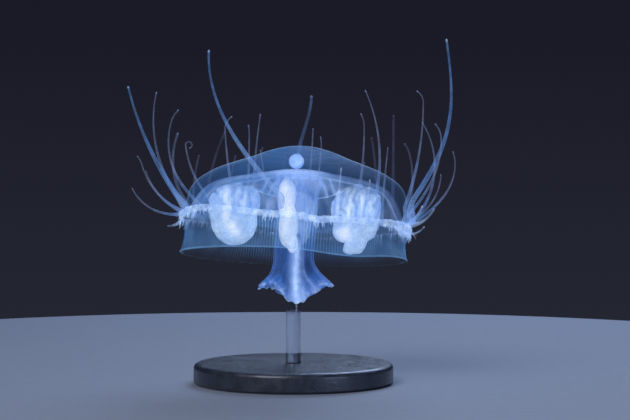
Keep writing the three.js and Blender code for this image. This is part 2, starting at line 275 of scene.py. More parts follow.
def relief(height, lift):
    """Normal of a surface that stands up by a lift, in mm, where its height is 1."""
    return node(height.tree, "ShaderNodeBump", {
        "Strength": 1.0, "Distance": lift * MM, "Height": height}).outputs[0]


stand_paint, tree, shader = finish_of("stand_paint")
wear = cloud(tree, 0.9, detail=5.0, warp=0.4)
orange_peel = cloud(tree, 7.0, detail=2.0, warp=0.0)
feed(shader, {"Base Color": blend(wear, rgb(38, 43, 54), rgb(50, 56, 68)),
              "Roughness": ramp(wear, 0.0, 1.0, 0.30, 0.44),
              "Normal": relief(orange_peel, 0.012),
              "Coat Weight": 0.3, "Coat Roughness": 0.12})

stand_acrylic, tree, shader = finish_of("stand_acrylic")
drawn = cloud(tree, 1.4, warp=0.8)
feed(shader, {"Base Color": blend(drawn, rgb(232, 240, 250), rgb(246, 250, 255)),
              "Roughness": ramp(drawn, 0.0, 1.0, 0.02, 0.07),
              "IOR": 1.49, "Transmission Weight": 1.0})

BASE_RADIUS, BASE_HEIGHT, EDGE, HOLE_RADIUS = 10.0, 2.0, 0.5, 0.77
ROD_RADIUS, ROD_FOOT, ROD_TOP, CHAMFER = 0.75, 0.7, 15.0, 0.1
SHARP_EDGE = math.radians(35)
ease = np.linspace(0, np.pi / 2, 9)
base_profile = np.concatenate([
    [(0, 0), (BASE_RADIUS - EDGE / 2, 0), (BASE_RADIUS, EDGE / 2)],
    np.stack([BASE_RADIUS - EDGE + EDGE * np.cos(ease),
              BASE_HEIGHT - EDGE + EDGE * np.sin(ease)], -1),
    [(6, BASE_HEIGHT), (HOLE_RADIUS, BASE_HEIGHT), (HOLE_RADIUS, ROD_FOOT), (0, ROD_FOOT)]])
rod_profile = [(0, ROD_FOOT), (ROD_RADIUS, ROD_FOOT), (ROD_RADIUS, 8),
               (ROD_RADIUS, ROD_TOP - CHAMFER), (ROD_RADIUS - CHAMFER, ROD_TOP), (0, ROD_TOP)]
for name, profile, columns, material, slot in (
        ("stand_base", base_profile, 144, stand_paint, "stand_paint"),
        ("stand_rod", rod_profile, 48, stand_acrylic, "stand_acrylic")):
    piece = skin(name + "_turned", [lathe(profile, columns)], material, in_pose=False)
    piece.data.set_sharp_from_angle(angle=SHARP_EDGE)
    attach(piece, "root")
    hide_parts(name)


# ------------------------------------------------------------------ bell
# The thick clear jelly cap of the swimming bell, one closed body from its top round its
# margin to the ceiling of its hollow. It is firm gel, all but clear, and shows by a painted
# highlight along its edges, where it turns pale and dense, and by a faint blue haze.
RIGHTWARD, LEFTWARD = 6, 186          # azimuths straight to the viewer's right and left


def even_curve(knots, count, between=24):
    """Curve through the knots at even steps of length: a Catmull-Rom spline, whose slope
    at each knot is half the step between its neighbours."""
    knots = np.asarray(knots, float)
    ends = np.concatenate([2 * knots[:1] - knots[1:2], knots, 2 * knots[-1:] - knots[-2:-1]])
    a, b, c, d = ends[:-3, None], ends[1:-2, None], ends[2:-1, None], ends[3:, None]
    t = np.linspace(0, 1, between, endpoint=False)[None, :, None]
    fine = 0.5 * (2 * b + (c - a) * t + (2 * a - 5 * b + 4 * c - d) * t ** 2
                  + (3 * b - a - 3 * c + d) * t ** 3)
    fine = np.concatenate([fine.reshape(-1, knots.shape[1]), knots[-1:]])
    run = np.concatenate([[0], np.cumsum(np.linalg.norm(np.diff(fine, axis=0), axis=1))])
    steps = np.linspace(0, run[-1], count)
    return np.stack([np.interp(steps, run, column) for column in fine.T], -1)


def smooth(value, low, high):
    """Smooth step of a value, from 0 at low to 1 at high."""
    share = np.clip((value - low) / (high - low), 0, 1)
    return share * share * (3 - 2 * share)


def bump_at(turn, place, width):
    """Bell curve over the azimuth, in degrees, with its top at a place."""
    apart = (np.degrees(turn) - place + 180) % 360 - 180
    return np.exp(-(apart / width) ** 2)


def rim_line(turn):
    """Height of the middle of the nettle ring. It lies in four shallow arches, low where
    a canal meets it, but for the one at the front right, which sags, and it stands
    higher at both sides."""
    degrees = np.degrees(turn) % 360
    sag = smooth(degrees, 276, 288) * (1 - smooth(degrees, 314, 338))
    return (-0.3 + 0.24 * (1 - np.cos(4 * turn)) - 0.34 * sag
            + 0.40 * bump_at(turn, RIGHTWARD, 30) + 0.22 * bump_at(turn, LEFTWARD, 30))


def lopsided(grid):
    """The dome sits a little askew on its margin: every point rises by a share of its
    place towards azimuth 0, more so the higher it is. Its margin follows the ring."""
    x, y, z = np.moveaxis(grid, -1, 0)
    margin = smooth(np.hypot(x, y), 8.5, 10.8) * (1 - smooth(z, 0.5, 3.5))
    rise = 0.042 * x * smooth(z, 0.3, 4.2) + margin * (rim_line(np.arctan2(y, x)) + 0.02)
    return np.stack([x, y, z + rise], -1)


OUTSIDE = [(0, 7.7), (0.9, 7.66), (2, 7.5), (3.6, 7), (5, 6.42), (7, 5.68), (8.7, 4.95),
           (10.1, 4.0), (10.75, 3.05), (11, 2), (11.12, 1), (11.1, 0.3)]
CEILING = [(10.62, 0.3), (10.3, 1.2), (9.85, 2.15), (9.4, 2.8), (8.8, 3.35), (7.9, 3.75),
           (6, 4.2), (4, 4.6), (2, 5.0), (0, 5.08)]
BELL_COLUMNS = 192
outside, ceiling = even_curve(OUTSIDE, 72), even_curve(CEILING, 60)
shell = lopsided(lathe(np.concatenate([outside, ceiling]), BELL_COLUMNS))
inside = (np.arange(shell.shape[1]) >= len(outside))[:, None] + np.zeros(shell.shape[2])


def facing(tree, power):
    """How far a surface turns away from the eye, from 0 to 1, drawn to its edge."""
    turned = reading(tree, "ShaderNodeLayerWeight", {"Blend": 0.5}, output="Facing")
    return turned.math("POWER", power)


def in_body(tree):
    """Place in the animal's own frame, in mm."""
    spot = node(tree, "ShaderNodeTexCoord").outputs["Object"]
    return node(tree, "ShaderNodeMapping", {
        "Vector": spot, "Location": MIDDLE * MM, "Rotation": POSE.to_euler(),
        "Scale": (MM, MM, MM)}, vector_type="TEXTURE").outputs[0]


def parts(vector):
    """The three parts of a vector, as values."""
    split = node(vector.id_data, "ShaderNodeSeparateXYZ", {0: vector})
    return [Value(part) for part in split.outputs]


def mark(tree, name):
    """A mark of the skin, as a value."""
    return reading(tree, "ShaderNodeAttribute", output="Fac", attribute_name=name)


# fine rays and rings: a wave over the azimuth and the radius, which wanders with a noise
RAYS, (count, rings, wander, sharp) = group_of(
    "muscle_rays", Rays=90.0, Rings=0.0, Wander=3.0, Sharp=2.0)
spot = in_body(RAYS)
x, y, _ = parts(spot)
noise = reading(RAYS, "ShaderNodeTexNoise", {"Vector": spot, "Scale": 0.35, "Detail": 2.0})
azimuth, radius = y.math("ARCTAN2", x), (x * x + y * y).math("SQRT")
wave = (azimuth * count + radius * rings + noise * wander).math("SINE") * 0.5 + 0.5
node(RAYS, "NodeGroupOutput", {"Mask": wave.math("POWER", sharp)})


def rays(tree, count, rings=0.0, wander=3.0, sharp=1.0):
    """Fine rays and rings round the animal's axis, as a mask from 0 to 1."""
    return reading(tree, "ShaderNodeGroup", {
        "Rays": count, "Rings": rings, "Wander": wander, "Sharp": sharp}, node_tree=RAYS)


def clear_jelly(name, looks, painted_glow, roughness=0.3, gloss=0.15):
    """Material of translucent tissue, with a weak painted glow of its own colour that stands
    in for light scattered in the gel. `looks` makes its nodes in the tree that it is
    given, and gives its colour, alpha and normal."""
    material, tree, shader = finish_of(name)
    colour, alpha, normal = looks(tree)
    # the emission is a painted glow: the tissue shines in its own colour though it is no lamp
    feed(shader, {"Base Color": colour, "Emission Color": colour, "Emission Strength": painted_glow,
                  "Alpha": alpha, "Normal": normal, "Roughness": roughness,
                  "Specular IOR Level": gloss})
    return material


def bell_looks(tree):
    """A haze that is denser above and on the left, growth rings round the top, and a
    painted highlight at the edges: the colour turns pale grey where the surface turns
    away from the eye, and the outer side grows dense there."""
    x, _, height = parts(in_body(tree))
    outer = 1.0 - mark(tree, "inside")
    haze = (ramp(height, 3.0, 7.2, 0.075, 0.17) * ramp(x, -9.0, 8.0, 1.35, 0.72)
            * ramp(cloud(tree, 0.25, warp=0.6), 0, 1, 0.8, 1.15))
    growth = (rays(tree, 0.0, rings=6.5, wander=5.0, sharp=5.0)
              * ramp(height, 5.6, 7.0, 0.0, 0.10))
    # painted highlight: the outer side grows dense where it turns away from the eye
    rim = facing(tree, 18.0) * 0.58 * outer
    # painted highlight: the colour turns pale grey towards the edges
    colour = blend(facing(tree, 12.0), rgb(68, 132, 198), rgb(160, 178, 196))
    return (colour, haze * (outer * 0.65 + 0.35) + growth + rim,
            relief(cloud(tree, 0.7, detail=2.0, warp=0.2), 0.012))


bell_jelly = clear_jelly("bell_jelly", bell_looks, 0.5, roughness=0.4, gloss=0.08)
bell = skin("bell", [shell], bell_jelly, inside=[inside])
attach(bell, "root")
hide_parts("bell")


# ------------------------------------------------------------------ lining of the hollow
# The thin milky sheet of muscle under the jelly, which lines the bell's hollow. Its
# fibres run as fine rays, and it is thickest round the stomach.
FIBRES = 48


def unit(vectors):
    """Vectors brought to a length of 1."""
    return vectors / np.linalg.norm(vectors, axis=-1, keepdims=True)


def off_profile(profile, distance):
    """A profile moved sideways by a distance along its normal."""
    slope = unit(np.gradient(profile, axis=0))
    return profile + distance * np.stack([slope[:, 1], -slope[:, 0]], -1)


under = even_curve(CEILING[::-1], 72)
upper_side, lower_side = off_profile(under, -0.20), off_profile(under, -0.06)
upper_side[0, 0] = lower_side[0, 0] = 0.0
sheet = np.concatenate([upper_side, lower_side[::-1]])


def most(first, *others):
    """The greatest of some values."""
    for other in others:
        first = first.math("MAXIMUM", other)
    return first


def lining_looks(tree):
    """Clouds and fibres, fainter on the right, over a milky middle."""
    x, _, height = parts(in_body(tree))
    aside, high = x.math("ABSOLUTE"), ramp(height, 2.8, 5.0)
    body = (cloud(tree, 0.33, detail=4.0, warp=1.2) * 0.10
            + rays(tree, FIBRES, wander=14.0, sharp=3.0) * 0.05
            + ramp(high, 0, 1, 0.045, 0.13))
    alpha = (body * ramp(x, -1.0, 5.5, 1.22, 0.34) + high * ramp(aside, 1.0, 5.0, 0.13, 0.0)
             + facing(tree, 4.0) * 0.05)
    share = most(ramp(height, 3.4, 5.0) * ramp(aside, 1.0, 5.0, 0.7, 0.0),
                 cloud(tree, 0.5, detail=4.0, warp=0.8) * 0.7)
    return (blend(share, rgb(80, 136, 204), rgb(196, 214, 240)), alpha,
            relief(rays(tree, FIBRES, wander=14.0), 0.03))


lining_tissue = clear_jelly("bell_lining", lining_looks, 0.5, roughness=0.5, gloss=0.08)
lining = skin("bell_lining", [lopsided(lathe(sheet, BELL_COLUMNS))], lining_tissue)
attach(lining, "root")


# ------------------------------------------------------------------ stomach
# The stomach's bright round pouch, sunk in the jelly under the top of the bell, and the
# low milky dome below it that leads to the mouth stalk.
POUCH_RADIUS, POUCH_PLACE = 0.79, np.array([-0.42, 0, 6.2])
ball = np.linspace(0, np.pi, 40)
pouch = POUCH_RADIUS * lathe(np.stack([np.sin(ball), np.cos(ball)], -1), 64) + POUCH_PLACE
dome = even_curve([(0, 5.2), (1.0, 5.14), (1.9, 4.92), (2.3, 4.68), (1.6, 4.62), (0, 4.7)], 40)


def stomach_looks(tree):
    """Cloudy and bright, and soft towards its edge."""
    alpha = (1.0 - facing(tree, 0.85)) * ramp(cloud(tree, 1.6), 0.0, 1.0, 0.66, 0.88)
    return (blend(cloud(tree, 1.1), rgb(150, 190, 252), rgb(206, 226, 255)), alpha,
            relief(cloud(tree, 3.0, warp=0.3), 0.02))


stomach_tissue = clear_jelly("stomach_tissue", stomach_looks, 0.5, roughness=0.45)
stomach = skin("stomach", [pouch, lathe(dome, 64)], stomach_tissue)
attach(stomach, "root")
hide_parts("stomach")


# ------------------------------------------------------------------ mouth stalk
# A thin walled four cornered tube that hangs from the stomach and opens at the mouth in
# four frilled lips. Each corner is a thicker, paler rib, and the lips' edges are bright.
LIPS = np.array([                     # azimuth, and how far out and down each lip reaches
    (0, 4.05, -6.0), (90, 3.4, -7.4), (180, 3.4, -6.75), (286, 3.4, -8.15)])
BETWEEN_OUT, BETWEEN_DOWN, NARROWNESS = 2.25, -6.1, 4
STALK_TOP, NECK, RIB, FLARE_FROM, WALL, FRILL = 4.8, 1.5, 0.5, 0.72, 0.2, 0.10


def corners(turn):
    """Wave with its crests, of 1, at the four corners and 0 halfway between them."""
    return (1 + np.cos(4 * turn)) / 2


def stalk_wall(down, turn, inset):
    """A layer of the stalk. Its neck is a tube with four rounded corners. Below the share
    FLARE_FROM it widens to the lips' edge, whose reach and depth swell at each lip, and
    the frill is a wave round the edge that grows towards it."""
    gap = np.radians(LIPS[:, 0])[:, None, None]
    share = np.maximum(0, np.cos(turn - gap)) ** NARROWNESS
    out = BETWEEN_OUT + ((LIPS[:, 1] - BETWEEN_OUT)[:, None, None] * share).sum(0)
    deep = BETWEEN_DOWN + ((LIPS[:, 2] - BETWEEN_DOWN)[:, None, None] * share).sum(0)
    neck = NECK + RIB * corners(turn) ** 2 + 0.3 * (1 - smooth(down, 0, 0.25))
    flare = (smooth(down, FLARE_FROM, 1.15) / smooth(1.0, FLARE_FROM, 1.15)) ** 1.5
    frill = FRILL * smooth(down, FLARE_FROM, 1.0)
    wave = np.sin(15 * turn + 1.3 * np.sin(3 * turn)) + 0.4 * np.sin(26 * turn + 2.0)
    radius = neck + (out - neck) * flare - inset + frill * wave
    radius += 0.05 * np.sin(7 * turn + 9 * down) * smooth(down, 0.1, 0.5)
    radius += 0.12 * np.sin(9 * turn + 1) * smooth(down, 0.8, 1.0)
    height = STALK_TOP + (deep - STALK_TOP) * down
    height += frill * 0.9 * np.cos(17 * turn + 2 * np.sin(5 * turn))
    return round_axis(radius, turn, height)


down = np.linspace(0, 1, 90)[:, None]
turn = once_round(384)[None]
outer_wall, inner_wall = stalk_wall(down, turn, 0.0), stalk_wall(down, turn, WALL)
lip_bead = (outer_wall[-1:] + inner_wall[-1:]) / 2 + np.array([0, 0, -0.08])
inner_wall[0, :, 2] -= 0.3            # the closed top is 0.3 mm thick
top_outer, top_inner = outer_wall[:1] * [0, 0, 1], inner_wall[:1] * [0, 0, 1]
walls = np.concatenate([top_outer, outer_wall, lip_bead, inner_wall[::-1], top_inner])
depth = np.concatenate([[0], down[:, 0], [1], down[::-1, 0], [0]])[:, None] + 0 * turn
front_rib = (0.78 * bump_at(turn - 0.10 * depth, 286, 24)
             + 0.32 * bump_at(turn - 0.10 * depth, 283, 9))
front_rib *= (0.1 + 0.9 * smooth(depth, 0.42, 0.6)) * (1 - 0.22 * smooth(depth, 0.82, 0.92))
front_lip = 0.62 * bump_at(turn, 302, 13) * smooth(depth, 0.83, 0.92)
side_rib = 0.46 * bump_at(turn - 0.5 * depth, 297, 5) * smooth(depth, 0.5, 0.65)
corner_rib = 0.22 * corners(turn) ** 8 + 0 * depth


def stalk_looks(tree):
    """A clear blue wall, paler above, with pale ribs and bright dotted lips."""
    lip, rim, rib, deep = (mark(tree, name) for name in ("lip", "rim", "rib", "deep"))
    dots = cloud(tree, 1.5, detail=4.0, warp=0.4)
    patch = cloud(tree, 0.6, warp=0.8) * 0.12 + ramp(deep, 0.38, 0.66, 0.42, 0.0)
    share = most(lip * ramp(dots, 0.2, 1, 0.0, 0.32), rim * ramp(dots, 0.2, 1, 0.1, 0.75),
                 rib * ramp(dots, 0, 1, 0.85, 1.15), patch)
    wall = ramp(cloud(tree, 0.5, warp=0.9), 0.0, 1.0, 0.05, 0.13)
    thick = most(rib * 0.66, lip * 0.22 + rim * 0.12)
    alpha = (wall + facing(tree, 2.2) * 0.40 + thick).math("MINIMUM", 0.95)
    return (blend(share, rgb(38, 106, 194), rgb(196, 222, 255)), alpha,
            relief(cloud(tree, 2.2), 0.05))


stalk_tissue = clear_jelly("stalk_tissue", stalk_looks, 0.42)
manubrium = skin("manubrium", [walls[None]], stalk_tissue, deep=[depth],
                 lip=[smooth(depth, 0.86, 0.96)], rim=[smooth(depth, 0.955, 0.985)],
                 rib=[np.max([front_rib, front_lip, side_rib, corner_rib], axis=0)])
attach(manubrium, "root")
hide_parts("manubrium")


# ------------------------------------------------------------------ gonads
# Four milky sacs, each hung from a radial canal that runs under the lining from the
# stomach to the ring. They are soft and full, pleated above and rounded below.
CANAL = [(1.9, 4.62), (3, 4.5), (4, 4.32), (6, 3.9), (7.9, 3.42), (8.7, 2.95), (9.3, 2.2),
         (9.9, 1.15), (10.5, 0.1), (10.9, -0.25)]


def canal():
    """The canal: an oval carried along its line in the upright plane of its gonad."""
    line = even_curve(CANAL, 90)
    slope = unit(np.gradient(line, axis=0))
    turn = once_round(16)[None]
    run = np.linspace(0, 1, 90)[:, None]
    swell = (0.85 + 0.12 * np.sin(37 * run) + 0.06 * np.sin(91 * run + 1)) * np.sqrt(
        np.clip(1 - (2 * run - 1) ** 30, 0, 1))
    across, upright = 0.15 * swell * np.sin(turn), 0.12 * swell * np.cos(turn)
    return np.stack([line[:, :1] - slope[:, 1:] * upright, across,
                     line[:, 1:] + slope[:, :1] * upright], -1)


def loop(one_side, other_side):
    """Two sides of a sheet joined into one closed loop of rows."""
    return np.concatenate([one_side, other_side[::-1], one_side[:1]])


def web():
    """The thin double web that ties the sac to the stalk, in the plane of its canal. Its
    free edge runs nearly straight down to the stalk, its two sides meet all round, and it
    carries straight streaks that fan out from above."""
    start, length = 1.9, 2.7
    out, drop = start + length * np.linspace(0, 1, 60)[None], np.linspace(0, 1, 40)[:, None]
    ceiling_line = np.interp(out, *np.array(CANAL)[:7].T)
    edge = 2.45 + 0.31 * (out - start) - 0.1 * np.sin(np.pi * (out - start) / length)
    height = ceiling_line + (edge - ceiling_line) * drop
    fan = 26 * np.arctan2(out - 0.6, height - 7.5)
    streak = 0.5 + 0.5 * np.sin(fan + 1.5 * np.sin(out * 3))
    streak = np.clip(0.6 * streak ** 3 + 0.5 * smooth(drop, 0.9, 0.97), 0, 1) + 0 * out
    half = (0.03 + 0.02 * drop) * np.sqrt(
        np.clip(1 - (2 * (out - start) / length - 1) ** 8, 0, 1))
    bow = 0.12 * np.sin(2.2 * out + 2 * drop)
    faces = [np.stack([out + 0 * drop, bow + side * half, height], -1) for side in (1, -1)]
    return loop(*faces), loop(streak, streak)


STEEPNESS, REACH = 3.4, np.linspace(0.3, 5.2, 80)


def sac(lobes, rows=150, columns=220):
    """Skin of a sac. Each lobe swells with a smooth hump, exp(STEEPNESS (1 - d^2)), where
    d is the distance in its half sizes. From the middle of the first lobe, in each
    direction, the skin lies where the sum of the humps last falls below one, of all the
    distances in REACH."""
    lobes = np.asarray(lobes, float)
    polar = np.linspace(0, np.pi, rows)[:, None]
    way = round_axis(np.sin(polar), once_round(columns), np.cos(polar))
    heat = 0
    for lobe in lobes:
        apart = (lobes[0, :3] - lobe[:3]) / lobe[3:]
        step = way / lobe[3:]
        square = ((apart ** 2).sum() + 2 * (step @ apart)[..., None] * REACH
                  + (step ** 2).sum(-1)[..., None] * REACH ** 2)
        heat = heat + np.exp(STEEPNESS * (1 - square))
    last = REACH.size - 1 - np.argmax((heat > 1)[..., ::-1], axis=-1)
    last = np.minimum(last, REACH.size - 2)
    inner = np.log(np.take_along_axis(heat, last[..., None], -1)[..., 0])
    outer = np.log(np.take_along_axis(heat, last[..., None] + 1, -1)[..., 0])
    share = np.clip(inner / np.maximum(inner - outer, 1e-6), 0, 1)
    return lobes[0, :3] + way * (REACH[last] + share * (REACH[1] - REACH[0]))[..., None], way


def pleated(lobes, fan, count, deep, from_height, **_):
    """A sac with pleats above a height. They fan out from a point below: the fold is a
    wave over the angle at the fan's point, whose phase wanders. Gives its points and
    the fold, from 0 in a crease to 1 on a crest. The rest of a sac's sizes aren't used."""
    points, way = sac(lobes)
    x, y, z = np.moveaxis(points, -1, 0)
    angle = np.arctan2(x - fan[0], z - fan[1])
    wander = (0.9 * np.sin(1.4 * z + 1.7 * y) + 0.6 * np.sin(3.1 * z - 2.2 * x)
              + 0.9 * np.sin(0.37 * count * angle + 1))
    fold = np.abs(np.cos(count * angle + wander)) ** 1.1
    pull = smooth(z, from_height, from_height + 1.2)
    fine = 0.5 + 0.5 * np.sin(3.1 * count * angle + 2.0 * np.sin(3 * z) + y)
    fold = np.clip(0.8 * fold + 0.2 * fine, 0, 1)
    blister = np.sin(3.9 * x + 1) * np.sin(4.6 * z + 2 * y) * np.sin(4.2 * y + 0.7)
    rise = deep * pull * (fold - 0.6) + 0.06 * (1 - pull) * blister
    return points + way * rise[..., None], 1 - pull * (1 - fold)


def glow_at(points, spots):
    """Sum of soft round spots, each a place, its half sizes and its strength."""
    spots = np.asarray(spots, float)
    apart = (points[..., None, :] - spots[:, :3]) / spots[:, 3:6]
    return (spots[:, 6] * np.exp(-(apart ** 2).sum(-1))).sum(-1)


# each sac: its azimuth, how ripe and so how thick it is, its fan of pleats, its lobes as a
# place and half sizes (outward, sideways, upward), and the bright spots where eggs fill it
GONADS = {
    "right": dict(
        at=0, ripe=1.0, fan=(5.9, -3.4), count=19.0, deep=0.18, from_height=-0.2,
        lobes=[(5.85, 0, 1.1, 2.0, 1.1, 2.3), (4.55, 0.2, 1.7, 1.1, 1.0, 1.9),
               (5.9, -0.3, 2.4, 1.3, 0.85, 1.6), (7.3, -0.3, 2.0, 1.15, 0.95, 1.7),
               (7.1, 0.1, 0.2, 1.15, 0.95, 1.5), (4.85, -0.2, -0.5, 1.1, 0.85, 1.15),
               (6.15, 0.1, -1.55, 1.0, 0.8, 1.15), (5.5, 0, -2.3, 0.6, 0.6, 0.5)],
        spots=[(5.0, -1.0, -0.9, 0.65, 0.9, 0.7, 1.1), (5.3, -1.0, 1.3, 0.3, 0.8, 1.4, 0.6),
               (6.5, -1.0, 2.1, 0.25, 0.8, 1.0, 0.55), (5.8, -0.9, -2.2, 0.8, 0.8, 0.4, 0.1)]),
    "back": dict(
        at=90, ripe=0.6, fan=(5.8, -3.5), count=15.0, deep=0.18, from_height=0.0,
        lobes=[(5.8, 0, 0.8, 1.95, 1.0, 2.5), (4.7, 0.3, 2.0, 1.1, 0.85, 1.6),
               (7.0, -0.2, 2.0, 1.15, 0.85, 1.6)],
        spots=[(6, 0.9, 0, 0.9, 0.9, 1.2, 0.6)]),
    "left": dict(
        at=180, ripe=1.0, fan=(6.1, -3.8), count=16.0, deep=0.19, from_height=0.1,
        lobes=[(6.2, 0, -0.35, 2.3, 1.2, 2.3), (4.85, -0.2, 1.9, 1.05, 0.95, 1.7),
               (5.95, 0.3, 2.2, 1.15, 0.95, 1.7), (7.1, 0.1, 2.0, 1.15, 0.95, 1.65),
               (8.0, 0.1, 1.3, 0.95, 0.9, 1.75)],
        spots=[(7.0, 1.0, 0.3, 0.4, 0.9, 0.9, 1.0), (6.3, 1.1, -0.8, 0.5, 0.9, 0.6, 1.0),
               (5.8, 1.1, -1.5, 0.5, 0.9, 0.45, 0.7), (7.1, 0.8, 2.4, 0.3, 0.9, 0.9, 0.8),
               (6.6, 0.8, 1.5, 0.2, 0.9, 0.6, 0.5), (5.2, 0.8, 1.8, 0.25, 0.9, 0.8, 0.6)]),
    "front": dict(
        at=270, ripe=1.0, fan=(5.9, -4.0), count=9.0, deep=0.1, from_height=1.0,
        lobes=[(5.9, -0.1, -0.9, 2.0, 0.92, 2.1), (5.8, -0.52, 2.0, 1.9, 0.8, 2.0),
               (4.6, -0.3, 2.2, 0.9, 0.6, 1.5), (6.1, 0.5, -2.6, 0.8, 0.5, 0.9)],
        spots=[(7.4, -0.5, 2.4, 1.6, 0.9, 1.9, 0.9), (7.2, -0.3, 0, 2.6, 1.6, 5, 0.8)]),
}


def behind(tree):
    """1 on the back of a surface and 0 on its front."""
    return reading(tree, "ShaderNodeNewGeometry", output="Backfacing")


def gonad_looks(tree):
    """Milky and mottled, paler on the folds and white where eggs fill it. It is fainter at
    its edge, on its back and where it is tied. Of the web, little but streaks shows."""
    fold, spot, thin, ripe = (mark(tree, name) for name in ("fold", "spot", "thin", "ripe"))
    share = (cloud(tree, 0.9, detail=5.0, warp=1.0) * 0.34 + 0.20 + fold * 0.5) * 0.95
    milk = blend(share, rgb(120, 174, 255), rgb(206, 230, 255))
    body = (ramp(cloud(tree, 0.7, warp=0.8), 0, 1, 0.34, 0.50)
            * ramp(cloud(tree, 1.8, detail=4.0, warp=0.6), 0, 1, 0.80, 1.16))
    body = (body + fold * 0.32 + spot * 0.40).math("MINIMUM", 0.96)
    soft, near = 1.0 - facing(tree, 1.6) * 0.6, 1.0 - behind(tree) * 0.6
    tie = ramp(parts(in_body(tree))[2], 2.3, 4.1, 1.0, 0.3)
    web_body = fold * 0.30 + 0.02
    alpha = body * soft * near * ripe * tie * (1.0 - thin) + web_body * thin
    return (blend(spot.math("MINIMUM", 1.0), milk, rgb(246, 250, 255)), alpha,
            relief(cloud(tree, 2.4, detail=4.0, warp=0.6), 0.08))


gonad_tissue = clear_jelly("gonad_tissue", gonad_looks, 0.68, roughness=0.4, gloss=0.2)
for side, sizes in GONADS.items():
    points, fold = pleated(**sizes)
    strap, (sheet, streak) = canal(), web()
    around = np.array(Matrix.Rotation(math.radians(sizes["at"]), 3, "Z"))
    grids = [lopsided(grid @ around.T)[None] for grid in (points, strap, sheet)]
    on_sac, on_strap, on_web = (np.zeros(grid.shape[1:3]) for grid in grids)
    gonad = skin("gonad_" + side, grids, gonad_tissue,
                 fold=[fold, 0.25 + on_strap, streak],
                 spot=[glow_at(points, sizes["spots"]), on_strap, on_web],
                 thin=[on_sac, 1 + on_strap, 1 + on_web],
                 ripe=[sizes["ripe"] + on_sac, on_strap, on_web])
    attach(gonad, "root")
    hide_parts("gonad_" + side)


# ------------------------------------------------------------------ velum
# The thin clear skirt that hangs from the ring and half closes the bell. Fine upright
# ribs and stripes run down it, and its free edge is a thicker, brighter hem.
VELUM_LENGTH, VELUM_SLANT, VELUM_RADIUS = 3.45, 0.4, 11.18
VELUM_THICK, HEM_THICK = 0.05, 0.10   # half thickness of the skirt and of its hem
VELUM_COLUMNS, VELUM_RIBS, RIB_LEVEL = 720, 240, 0.38


def bare(turn):
    """How bare the ring and the skirt are, from 0 to 1: the fringe is short and the ribs
    are faint where the three sacs that hang near the front lie against them."""
    return bump_at(turn, 240, 15) + bump_at(turn, 309, 15) + bump_at(turn, 272.5, 6)


def velum_side(side):
    """One side of the skirt: it pulls in a little between ring and hem, ripples, and sags
    at the front right. The half thickness is even down to the hem, a round bead."""
    share = np.linspace(0, 1, 64)[:, None]
    turn = once_round(VELUM_COLUMNS)
    ripple = 0.018 * np.sin(VELUM_RIBS * turn) * smooth(share, 0.02, 0.2) + (
        0.05 * np.sin(9 * turn + 2) + 0.03 * np.sin(17 * turn)) * smooth(share, 0.1, 0.9)
    bead = np.sqrt(np.clip(1 - ((share - 0.975) / 0.025) ** 2, 0, 1)) * HEM_THICK
    half = np.maximum(VELUM_THICK * (1 - smooth(share, 0.985, 1.0)), bead)
    radius = VELUM_RADIUS - 0.24 * np.sin(np.pi * share) + 0.06 * share + ripple + side * half
    edge = VELUM_SLANT * np.cos(turn + SPIN) - VELUM_LENGTH - 0.5 * bump_at(turn, 304, 22)
    top = rim_line(turn) - 0.28
    height = top + (edge - top) * share
    return round_axis(radius, turn, height), share + 0 * turn


outer_side, share = velum_side(1)
inner_side, _ = velum_side(-1)
down, inward = loop(share, share), loop(0 * share, 1 + 0 * share)
shown = 1 - inward * (1 - 0.50 * smooth(down, 0, 0.35) * (1 - 0.93 * smooth(down, 0.5, 1.0)))
shown *= 1 - 0.6 * smooth(down, 0.985, 1.0)
ribbed = 1 - 0.85 * bare(once_round(VELUM_COLUMNS)) + 0 * down


def veiled(alpha):
    """Alpha of a thin wall round the animal: its outer side shows in full, its inner side
    faintly, as the body's haze lies over it, and the backs of both not at all."""
    return alpha * (1.0 - behind(alpha.tree)) * mark(alpha.tree, "shown")


def velum_looks(tree):
    """Upright ribs on a clear blue sheet, which fade to an even level, and a paler hem."""
    hem = mark(tree, "hem")
    ribs = (rays(tree, VELUM_RIBS, wander=4.0, sharp=1.2)
            * ramp(cloud(tree, 0.3), 0, 1, 0.5, 1.0))
    share = most((ribs - RIB_LEVEL) * mark(tree, "ribbed") + RIB_LEVEL, hem * 0.6)
    body = ramp(cloud(tree, 0.4), 0, 1, 0.26, 0.345)
    upper = ramp(mark(tree, "drop"), 0.0, 0.5, 0.06, 0.0)
    alpha = body + upper + facing(tree, 4.0) * 0.12 + hem * 0.13
    return (blend(share, rgb(44, 94, 156), rgb(144, 204, 255)), veiled(alpha),
            relief(rays(tree, VELUM_RIBS, wander=4.0), 0.02))


velum_membrane = clear_jelly("velum_membrane", velum_looks, 0.45)
velum = skin("velum", [loop(outer_side, inner_side)[None]], velum_membrane, drop=[down],
             hem=[smooth(down, 0.93, 0.955)], shown=[shown], ribbed=[ribbed])
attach(velum, "root")
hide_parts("velum")


# ------------------------------------------------------------------ tentacles
# Long and medium tentacles spring from above the ring and stream up past the bell. Each
# is a soft tapering cord of clear gel, banded with rows of stinging cells.
SEATS = {                             # radius and height, and mm hidden inside the rim
    "high": (11.47, 1.1, 0.9), "top": (11.5, 0.29, 0.55), "side": (11.77, -0.2, 0.55),
    "under": (11.62, -0.82, 0.55)}
STEPS_PER_MM, ROOT_STEPS, TENTACLE_COLUMNS, BAND = 14, 8, 12, 0.27


